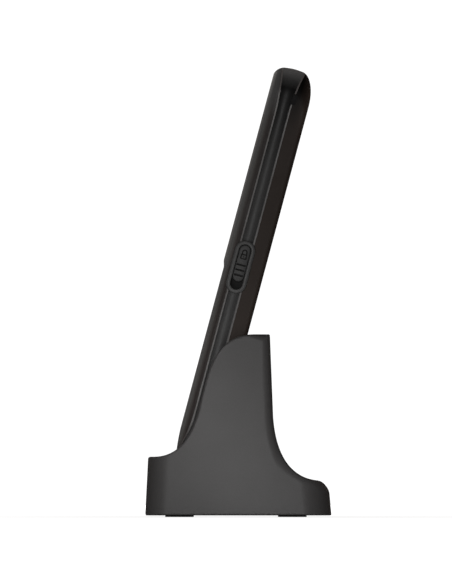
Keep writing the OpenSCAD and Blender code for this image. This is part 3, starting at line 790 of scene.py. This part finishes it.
cover = rear.cut(lambda p: p[:, 2] - COVER_START).cut(notch_gap)
cover, fall = with_lips(cover, sound_slots(113, 3.5, range(-3, 4)), (0.08, 0.2), 0.2)
base = cover.p.copy()
v, f = cover.sink(fall).solid(1.1, base)
add_piece("battery_door", v, f, COVER, "cover", "cover_umber", ["battery_cover"])

# hooks and round hinge beads on the cover's lower edge
for i, x in enumerate((-16, 16)):
    rings = [at_depth(rounded(3 - e, 1.75 - e, 0.5, x, 43.0), y) for y, e in
             ((10.6, 0.3), (10.75, 0.06), (10.9, 0), (11.3, 0), (11.42, 0.08))]
    add_piece(f"door_hook_{i}", *loft(rings), COVER, "cover", "cover_umber")
    turn = np.linspace(0, 2 * math.pi, 20, endpoint=False)
    bead = [np.stack([np.full(20, x + dx), 12.2 + r * np.cos(turn), 42.38 + r * np.sin(turn)], 1)
            for dx, r in ((-2.9, 0.25), (-2.8, 0.34), (2.8, 0.34), (2.9, 0.25))]
    add_piece(f"door_bead_{i}", *loft(bead), COVER, "cover", "cover_umber")

# floor of the finger-nail notch
tab = rounded(1.1, 2.4, 0.3, 8.05, NOTCH_Z, 2, 4, 4)
rings = [np.stack([np.full(len(tab), x), tab[:, 0], tab[:, 1]], 1) for x in (25.9, 26.35, 26.45)]
add_piece("notch_floor", *loft(rings), DARK, "handset", "band_charcoal")

# ---------------------------------------------------------------- lock switch


def side_ring(inset, x, length, width, zc, n_long=40, n_arc=14):
    """Round-ended outline in the side wall, moved inwards by inset, at one x."""
    o = rounded(width / 2 - inset, length / 2 - inset, width / 2 - inset, 0, 0, 1, n_long, n_arc)
    return np.stack([np.broadcast_to(x, len(o)), SWITCH_Y + o[:, 0], zc + o[:, 1]], 1)


profile = [(0.0, 25.6), (0.0, 27.62), (0.08, 27.8), (0.24, 27.98), (0.45, 28.12), (0.7, 28.19),
           (0.93, 28.19), (1.11, 28.12), (1.22, 28.0), (1.27, 27.85), (1.28, 26.2), (1.28, 25.6)]
rings = [side_ring(d, x, BEZEL_LEN, BEZEL_W, SWITCH_Z) for d, x in profile]
add_piece("switch_bezel_ring", *loft(rings, closed=True), BEZEL, "handset", "shell_graphite",
          ["switch_bezel"])
rings = [side_ring(1.2, x, BEZEL_LEN, BEZEL_W, SWITCH_Z) for x in (25.5, 26.0, 26.1)]
add_piece("switch_slot_floor", *loft(rings), DARK, "handset", "band_charcoal")


GRIPS = (67.08, 65.45, 63.82)


def knob():
    """Slider: crowned top with three cross grooves, round-ended."""
    z0, length, width = 67.65, 11.56, 3.44
    rings = []
    for d, x in [(0.1, 26.15), (0, 26.25), (0, 27.52), (0.03, 27.62), (0.1, 27.72), (0.22, 27.79)]:
        rings.append(side_ring(d, x, length, width, z0, 120, 12))
    for k in range(1, 11):
        d = 0.22 + 1.48 * k / 10
        rings.append(side_ring(d, 27.79 + 0.13 * (1 - (1 - k / 10) ** 2), length, width, z0, 120, 12))
    verts, faces = loft(rings)
    groove = np.zeros(len(verts))
    for g in GRIPS:
        groove = np.maximum(groove, np.clip(1.5 - np.abs(verts[:, 2] - g) / 0.2, 0, 1))
    across = np.clip((1.45 - np.abs(verts[:, 1] - SWITCH_Y)) / 0.25, 0, 1)
    verts[:, 0] -= 0.55 * ease(groove) * np.clip((verts[:, 0] - 27.5) / 0.25, 0, 1) * across
    return verts, faces


add_piece("lock_knob_cap", *knob(), KNOB, "lock_knob", "control_graphite", ["lock_slider"])


def plate_x(outline, x0, x1):
    """Flat piece lying in the side wall: outline of (y, z), from x0 to x1."""
    return loft([np.stack([np.full(len(outline), x), outline[:, 0], outline[:, 1]], 1) for x in (x0, x1)])


for i, g in enumerate(GRIPS):
    add_piece(f"knob_grip_{i}", *plate_x(rounded(1.3, 0.17, 0.16, SWITCH_Y, g, 6), 27.2, 27.55), DARK,
              "lock_knob", "control_graphite")


def arch(y0, z0, r, foot, n=12):
    return [(y0 + r, foot)] + [(y0 + r * math.cos(a), z0 + r * math.sin(a))
                               for a in np.linspace(0, math.pi, n)] + [(y0 - r, foot)]


# a small raised padlock: frame, bow and keyhole
SIGN_Y, SIGN_Z = 5.62, 69.75
frame_out, frame_in = (rounded(0.98 - e, 0.84 - e, 0.24 - e / 3, SIGN_Y, SIGN_Z) for e in (0, 0.38))
lock_rings = [np.stack([np.full(len(o), x), o[:, 0], o[:, 1]], 1)
              for x, o in ((27.7, frame_out), (27.98, frame_out), (27.98, frame_in), (27.7, frame_in))]
add_piece("lock_sign_body", *loft(lock_rings, closed=True), DARK, "lock_knob", "control_graphite")
bow = arch(SIGN_Y, 71.2, 0.84, 70.5) + arch(SIGN_Y, 71.2, 0.44, 70.5)[::-1]
add_piece("lock_sign_bow", *plate_x(np.array(bow), 27.7, 27.98), DARK, "lock_knob", "control_graphite")
hole = rounded(0.16, 0.26, 0.16, SIGN_Y, SIGN_Z, 1, 1, 4)
add_piece("lock_sign_hole", *plate_x(hole, 27.7, 27.95), DARK, "lock_knob", "control_graphite")

# volume rocker on the left side
rings = []
for d, x in [(0, -26.0), (0, -27.3), (0.06, -27.55), (0.2, -27.74), (0.45, -27.86), (0.8, -27.9),
             (1.05, -27.9)]:
    o = rounded(1.1 - d, 8.0 - d, 1.1 - d, 0, 0, 1, 48, 10)
    rings.append(np.stack([np.full(len(o), x), ROCKER_Y + o[:, 0], ROCKER_Z + o[:, 1]], 1))
v, f = loft(rings)
# a shallow dip in the middle of the bar
v[:, 0] += 0.22 * np.exp(-((v[:, 2] - ROCKER_Z) / 1.3) ** 2) * np.clip((-27.3 - v[:, 0]) / 0.3, 0, 1)
add_piece("volume_bar", v, f, KNOB, "volume_key", "control_graphite", ["volume_rocker"])

# ---------------------------------------------------------------- keys and legends


def crown(x, z, w, h, apex=0.75, drop=0.26):
    """Depth of a key's slightly domed top."""
    return apex + drop * np.clip((2 * x / w) ** 2 * 0.5 + (2 * z / h) ** 2 * 0.5, 0, 1)


def key_mesh(kx, kz, w, h, r, flange=True):
    """A crowned key cap, with a flange under the shell's edge where there is room."""
    rings = []

    def ring(d, depth, rr):
        o = rounded(w / 2 - d, h / 2 - d, rr, 0, 0, 16, 10, 7)
        dep = depth(o[:, 0], o[:, 1]) if callable(depth) else depth
        o = o + (kx, kz)
        rings.append(at_depth(o, dep))

    if flange:
        ring(-0.55, 2.68, 1.6)
        ring(-0.6, 2.6, 1.6)
        ring(-0.6, 2.2, 1.6)
        ring(-0.55, 2.16, 1.6)
    else:
        ring(0.05, 2.68, r)
    ring(0, 2.14, r)
    ring(0, 1.5, r)
    for j in range(1, 7):
        a = math.radians(90 * j / 6)
        e = 0.45 * (1 - math.cos(a))
        ring(e, lambda x, z, a=a: crown(x, z, w, h) + 0.45 * (1 - math.sin(a)), max(r - e, 0.3))
    lim = min(w, h) / 2 - 0.05
    for j in range(1, 8):
        d = 0.45 + (lim - 0.45) * j / 7
        ring(d, lambda x, z: crown(x, z, w, h), max((r - 0.45) * (1 - j / 7), 0.02))
    return loft(rings)


INK_OUT, INK_IN = 0.016, 0.05  # how far a printed sign stands out of its key, and reaches in


def legend(name, text, kx, kz, size, body, w, h):
    """A character as a thin raised plate on a key."""
    cu = bpy.data.curves.new(name, "FONT")
    cu.body = text
    cu.size = size
    cu.align_x, cu.align_y = "CENTER", "CENTER"
    cu.resolution_u = 6
    cu.extrude = 0.02
    tmp = bpy.data.objects.new(name + "_tmp", cu)
    bpy.context.scene.collection.objects.link(tmp)
    dg = bpy.context.evaluated_depsgraph_get()
    me = bpy.data.meshes.new_from_object(tmp.evaluated_get(dg))
    p = np.array([v.co for v in me.vertices])
    p[:, :2] -= (p[:, :2].max(0) + p[:, :2].min(0)) / 2
    d = crown(p[:, 0], p[:, 1], w, h)
    depth = np.where(p[:, 2] > 0, crown(0, 0, w, h) - INK_OUT, d.max() + INK_IN)
    verts = np.stack([kx + p[:, 0], depth, kz + p[:, 1]], 1)
    faces = [tuple(q.vertices) for q in me.polygons]
    bpy.data.objects.remove(tmp)
    add_piece(name, verts, faces, INK, body, "silicone_grey", sharp=30)


def turned(points, angle, scale=1.0):
    c, s = scale * math.cos(angle), scale * math.sin(angle)
    return np.array([(x * c - z * s, x * s + z * c) for x, z in points])


def flat_sign(name, outline, kx, kz, body, w, h):
    """A drawn sign as a thin raised plate on a key."""
    o = np.array(outline)
    reach = np.vstack([o, o.mean(0)])
    d = crown(reach[:, 0], reach[:, 1], w, h)
    rings = [at_depth(o + (kx, kz), e) for e in (d.max() + INK_IN, d.min() - INK_OUT)]
    add_piece(name, *loft(rings), INK, body, "silicone_grey")


def receiver_sign(angle):
    """A generic receiver: a bow with two thick ends."""
    outer = [(2.1 * math.cos(a), 2.1 * math.sin(a) - 1.3) for a in np.linspace(0.55, math.pi - 0.55, 11)]
    inner = [(1.3 * math.cos(a), 1.15 * math.sin(a) - 0.85) for a in np.linspace(math.pi - 0.85, 0.85, 7)]
    left_end = [(-2.15, -0.75), (-0.95, -0.75), (-0.9, 0.0)]
    right_end = [(-x, z) for x, z in left_end[::-1]]
    return turned(outer + left_end + inner + right_end, angle, 0.85)


for name, kx, kz in NUMBER_KEYS:
    add_piece(name + "_cap", *key_mesh(kx, kz, KEY_W, KEY_H, 1.6), KEYS, name, "key_charcoal", [name])
    sign = {"key_star": "*", "key_hash": "#"}.get(name, name[-1])
    legend(name + "_sign", sign, kx, kz, 6.0 if sign != "*" else 8.5, name, KEY_W, KEY_H)

for name, kx, kz in SIDE_KEYS:
    mat = {"key_call": GREEN, "key_end": RED}.get(name, KEYS)
    slot = {"key_call": "key_green", "key_end": "key_red"}.get(name, "key_charcoal")
    add_piece(name + "_cap", *key_mesh(kx, kz, KEY_W, SIDE_H, 1.6), mat, name, slot, [name])
    if name.startswith("soft"):
        flat_sign(name + "_sign", rounded(1.7, 0.28, 0.28), kx, kz, name, KEY_W, SIDE_H)
    else:
        # tipped up for call and flat for end
        sign = receiver_sign(math.radians(-135 if name == "key_call" else 0))
        flat_sign(name + "_sign", sign, kx, kz, name, KEY_W, SIDE_H)

v, f = key_mesh(NAV[0], NAV[1], NAV[2], NAV[3], 2.4, flange=False)
# a round dish in the middle of the navigation key
rad = np.hypot(v[:, 0] / 1.15, v[:, 2] - NAV[1])
v[:, 1] += np.where(v[:, 1] < 1.3, 0.3 * (1 - ease((rad - 2.0) / 0.8)), 0)
add_piece("nav_rocker_cap", v, f, KEYS, "navigation_key", "key_charcoal", ["nav_rocker"])
for i, (sx, sz) in enumerate(((0, 1), (0, -1), (1, 0), (-1, 0))):
    arrow = turned([(-0.55, -0.3), (0.55, -0.3), (0, 0.5)], math.atan2(-sx, sz))
    tri = arrow + (4.5 * sx, 4.1 * sz)
    flat_sign(f"nav_mark_{i}", tri, NAV[0], NAV[1], "navigation_key", NAV[2], NAV[3])

# display window and the display seen through it
rings = []
for d, y in [(0.1, 0.97), (0, 0.9), (0, 0.2), (0.05, 0.08), (0.15, 0.03), (0.35, 0.02)]:
    rings.append(at_depth(rounded(21.5 - d, 25 - d, 2.4 - d * 0.8, 0, WINDOW_Z, 8, 8, 8), y))
add_piece("window", *loft(rings), screen_glass(), "handset", "window_black", ["display_window"])
rings = [at_depth(rounded(17.6, 22, 0.4, 0, WINDOW_Z - 0.5), y) for y in (0.5, 0.012)]
add_piece("display_face", *loft(rings), display_area(), "handset", "display_glass")

# ---------------------------------------------------------------- cradle

def bez(a, b, c, d, n):
    t = np.linspace(0, 1, n + 1)[:, None]
    a, b, c, d = map(np.array, (a, b, c, d))
    return (1 - t) ** 3 * a + 3 * (1 - t) ** 2 * t * b + 3 * (1 - t) * t * t * c + t ** 3 * d


def cradle_side():
    """Side profile (y, z), counter-clockwise; its two upright ends lie outside the plan."""
    return np.vstack([
        [(-36, -9), (36, -9), (36, 9.6)],
        bez((CD - 5.4, SHELF - 0.12), (15.6, SHELF + 1.3), (11.6, 20), (10.8, 31), 22),
        [(9.8, TOP)],
        bez((5, TOP), (-7.5, TOP), (-9.5, 45), (-12.3, 33), 26),
        bez((-12.3, 33), (-14.8, 24.5), (-18.5, LIP + 0.3), (-26, LIP + 0.1), 22)[1:],
        [(-36, LIP)],
    ])


def polygon_distance(poly, y, z):
    """Signed distance to a polygon, negative inside."""
    best = np.full(y.shape, 1e9)
    inside = np.zeros(y.shape, bool)
    for (ay, az), (by, bz) in zip(poly, np.roll(poly, -1, 0)):
        ey, ez = by - ay, bz - az
        t = np.clip(((y - ay) * ey + (z - az) * ez) / (ey * ey + ez * ez), 0, 1)
        best = np.minimum(best, (y - ay - t * ey) ** 2 + (z - az - t * ez) ** 2)
        if az != bz:
            cross = ((az > z) != (bz > z)) & (y < (by - ay) * (z - az) / (bz - az) + ay)
            inside ^= cross
    best = np.sqrt(best)
    return np.where(inside, -best, best)


def smooth_max(a, b, k):
    """Larger of two distances with the corner between them rounded to radius k."""
    u, v = np.maximum(a + k, 0), np.maximum(b + k, 0)
    return np.minimum(np.maximum(a, b), -k) + np.hypot(u, v)


SIDE = cradle_side()
POCKET = np.array([(1.32, -0.15), (13.2, -0.15), (13.2, 41.5), (53.2, 81.5), (53.2, 95), (-3, 95), (-3, 50),
                   (0.18, 30), (0.18, 14.6), (0.3, 10), (0.72, 6)])
BLOCK = np.array([(-1.6, -1.9), (14.9, -1.9), (14.9, 40.65), (54.9, 80.65), (54.9, 95), (-1.6, 95)])


def cradle_distance(x, y, z):
    """Distance to the cradle's shell: outer form, pocket, hollow, screw bosses, ribs and plug hole."""
    ax = np.abs(x)
    side = polygon_distance(SIDE, y, z)
    # the cheeks lean in and hollow slightly, and the two ends lean in from the foot
    lean_x = 0.0514 * z + 0.25 * np.sin(np.clip(z / TOP, 0, 1) * math.pi)
    lean_y = (z - FOOT_GAP) * np.where(y > 0, 0.09, 0.0506)
    r = np.where(y > 0, 9.0, 7.0)
    plan = box_distance(ax + lean_x, np.abs(y) + lean_y, CW, CD, r)
    # sharp front edges, softer ones along the rear sweep
    fillet = np.interp(y, (-4, 3, 8, 12, 17, 22, 27), (0.55, 0.7, 2.8, 3.2, 2.0, 2.0, 3.6))
    outer = smooth_max(side, plan, fillet)
    outer = smooth_max(outer, FOOT_GAP - z, 0.35)
    hy = (y - SEAT[1]) * math.cos(LEAN) - (z - SEAT[2]) * math.sin(LEAN)
    hz = (y - SEAT[1]) * math.sin(LEAN) + (z - SEAT[2]) * math.cos(LEAN)
    pocket = np.maximum(polygon_distance(POCKET, hy, hz), ax - 28.05)
    mouth = np.maximum(np.maximum(np.abs(hy - 5.8) - 2.3, ax - 10.9), np.abs(hz + 1.5) - 2.5)
    pocket = np.minimum(pocket, mouth)
    block = np.maximum(polygon_distance(BLOCK, hy, hz), ax - 29.65)
    hollow = np.maximum(np.maximum(side + 2.2, plan + 2.2), -block)
    bx, by = ax - 29.2, np.abs(y) - 20
    boss = np.maximum(np.hypot(bx, by) - 2.3, np.abs(z - 6.45) - 3.6)
    rib = np.maximum(np.maximum(np.abs(ax - 31.5) - 2.0, np.abs(by) - 0.9), np.abs(z - 6.45) - 3.6)
    body = smooth_max(outer, -pocket, 0.55)
    body = np.maximum(body, -hollow)
    body = np.minimum(body, np.maximum(np.minimum(boss, rib), outer))
    body = np.maximum(body, -np.maximum(np.hypot(bx, by) - 1.3, z - 8.4))
    plug = np.maximum(np.maximum(np.abs(x) - 4.3, np.abs(z - 6.45) - 1.95), 20 - y)
    return smooth_max(body, -plug, 0.3)


def gradient(func, p, h):
    x, y, z = p.T
    return np.stack([func(x + h, y, z) - func(x - h, y, z), func(x, y + h, z) - func(x, y - h, z),
                     func(x, y, z + h) - func(x, y, z - h)], 1) / (2 * h)


def surface_nets(func, lo, hi, step):
    """Quads over the zero level of func, with their points moved onto it."""
    axes = [np.arange(a, b + step, step) for a, b in zip(lo, hi)]
    nx, ny, nz = (len(a) for a in axes)
    grid = np.empty((nx, ny, nz), np.float32)
    yy, zz = np.meshgrid(axes[1], axes[2], indexing="ij")
    for i, x in enumerate(axes[0]):
        grid[i] = func(np.full(yy.shape, x), yy, zz)
    neg = grid < 0
    total = np.zeros((nx - 1, ny - 1, nz - 1, 3), np.float32)
    count = np.zeros((nx - 1, ny - 1, nz - 1), np.float32)
    corner = [(a, b, c) for a in (0, 1) for b in (0, 1) for c in (0, 1)]

    def part(arr, o):
        return arr[o[0]:nx - 1 + o[0], o[1]:ny - 1 + o[1], o[2]:nz - 1 + o[2]]

    for a in corner:
        for d in range(3):
            if a[d]:
                continue
            b = tuple(v + (1 if i == d else 0) for i, v in enumerate(a))
            ga, gb = part(grid, a), part(grid, b)
            cross = part(neg, a) != part(neg, b)
            t = np.where(cross, ga / np.where(cross, ga - gb, 1), 0)
            for i in range(3):
                total[..., i] += np.where(cross, a[i] + (t if i == d else 0), 0)
            count += cross
    active = count > 0
    index = np.full(active.shape, -1, np.int64)
    index[active] = np.arange(active.sum())
    cells = np.argwhere(active)
    p = np.array(lo) + (cells + total[active] / count[active][:, None]) * step
    faces = []
    for d in range(3):
        u, w = (d + 1) % 3, (d + 2) % 3
        a = [slice(None)] * 3
        b = [slice(None)] * 3
        a[d], b[d] = slice(0, -1), slice(1, None)
        cross = neg[tuple(a)] != neg[tuple(b)]
        e = np.argwhere(cross)
        e = e[(e[:, u] > 0) & (e[:, w] > 0) & (e[:, u] < grid.shape[u] - 1) & (e[:, w] < grid.shape[w] - 1)]
        quad = []
        for du, dw in ((-1, -1), (0, -1), (0, 0), (-1, 0)):
            c = e.copy()
            c[:, u] += du
            c[:, w] += dw
            quad.append(index[c[:, 0], c[:, 1], c[:, 2]])
        q = np.stack(quad, 1)
        flip = ~neg[e[:, 0], e[:, 1], e[:, 2]]
        q[flip] = q[flip][:, ::-1]
        faces.append(q)
    for _ in range(4):
        g = gradient(func, p, 0.02)
        n2 = np.maximum((g * g).sum(1), 0.2)
        p = p - np.clip(func(*p.T) / n2, -0.3, 0.3)[:, None] * g
    g = gradient(func, p, 0.08)
    g /= np.linalg.norm(g, axis=1)[:, None] + 1e-9
    return p, np.vstack(faces), g


# grid step in millimetres
cell = 0.62
verts, quads, normals = surface_nets(cradle_distance, (-35.3, -29.6, 0.2), (35.3, 29.6, 57.4), cell)
cradle = add_piece("cradle_body", verts, quads, CRADLE, "cradle", "cradle_graphite", ["cradle_housing"],
                   sharp=180, handset=False)
cradle.data.normals_split_custom_set_from_vertices([tuple(n) for n in normals])

# ---------------------------------------------------------------- CAD nodes that stay

KEPT = {
    "cradle_base_plate": (BASE, 0.25), "cradle_feet": (FOOT, 0.3), "cradle_screws": (STEEL, 0.06),
    "cradle_board": (circuit_board(), 0.05), "cradle_inlet": (STEEL, 0.08),
    "contact_block": (SPEAKER, 0.12), "contact_pins": (GOLD, 0.25), "ballast_plate": (ZINC, 0.2),
    "mid_chassis": (ALLOY, 0.08), "lcd_module": (lcd_glass(), 0.08), "main_board": (None, 0.05),
    "keypad_mat": (MAT, 0.12), "receiver": (STEEL, 0.12), "earpiece_grille": (STEEL, 0.05),
    "loudspeaker": (SPEAKER, 0.15), "microphone": (STEEL, 0.1), "vibration_motor": (STEEL, 0.12),
    "motor_weight": (TUNGSTEN, 0.12), "antenna": (GOLD, 0.04), "battery": (battery_wrap(), 0.35),
    "battery_contacts": (GOLD, 0.12), "sim_holder": (STEEL, 0.06), "handset_screws": (STEEL, 0.05),
    "lock_switch": (STEEL, 0.1), "volume_switch": (STEEL, 0.1), "charging_pads": (GOLD, 0.06),
    "handset_socket": (STEEL, 0.08),
}
for name, (mat, width) in KEPT.items():
    o = NODES[name]
    mat = mat or KEPT["cradle_board"][0]
    o.data.materials.clear()
    o.data.materials.append(mat.m)
    bevel = o.modifiers.new("eased_edges", "BEVEL")
    bevel.width = width / 1000
    bevel.segments = 2
    bevel.limit_method = "ANGLE"
    bevel.angle_limit = math.radians(40)
    bevel.harden_normals = False

# ---------------------------------------------------------------- floor

me = bpy.data.meshes.new("floor")
me.from_pydata([(-9, -9, 0), (9, -9, 0), (9, 9, 0), (-9, 9, 0)], [], [(0, 1, 2, 3)])
floor = bpy.data.objects.new("floor", me)
bpy.context.scene.collection.objects.link(floor)
# the camera sees a pale floor that gets whiter away from the object; it lights the scene as plain grey
paper = bpy.data.materials.new("pale_floor")
paper.use_nodes = True
tree = paper.node_tree
tree.nodes.clear()
matt = tree.nodes.new("ShaderNodeBsdfDiffuse")
matt.inputs["Color"].default_value = (0.3, 0.3, 0.3, 1)
glow = tree.nodes.new("ShaderNodeEmission")
where = tree.nodes.new("ShaderNodeTexCoord")
far = tree.nodes.new("ShaderNodeVectorMath")
far.operation = "LENGTH"
tree.links.new(where.outputs["Object"], far.inputs[0])
rise = tree.nodes.new("ShaderNodeMapRange")
for i, value in enumerate((0.05, 0.35, 0.84, 1.1)):
    rise.inputs[i + 1].default_value = value
tree.links.new(far.outputs["Value"], rise.inputs[0])
tree.links.new(rise.outputs[0], glow.inputs["Strength"])
both = tree.nodes.new("ShaderNodeAddShader")
tree.links.new(matt.outputs[0], both.inputs[0])
tree.links.new(glow.outputs[0], both.inputs[1])
out = tree.nodes.new("ShaderNodeOutputMaterial")
tree.links.new(white_for_camera(tree, both, matt).outputs[0], out.inputs["Surface"])
me.materials.append(paper)
# the close strip light doesn't fall on the floor
unlit = bpy.data.collections.new("strip_exceptions")
unlit.objects.link(floor)
unlit.collection_objects[0].light_linking.link_state = "EXCLUDE"
strip.light_linking.receiver_collection = unlit
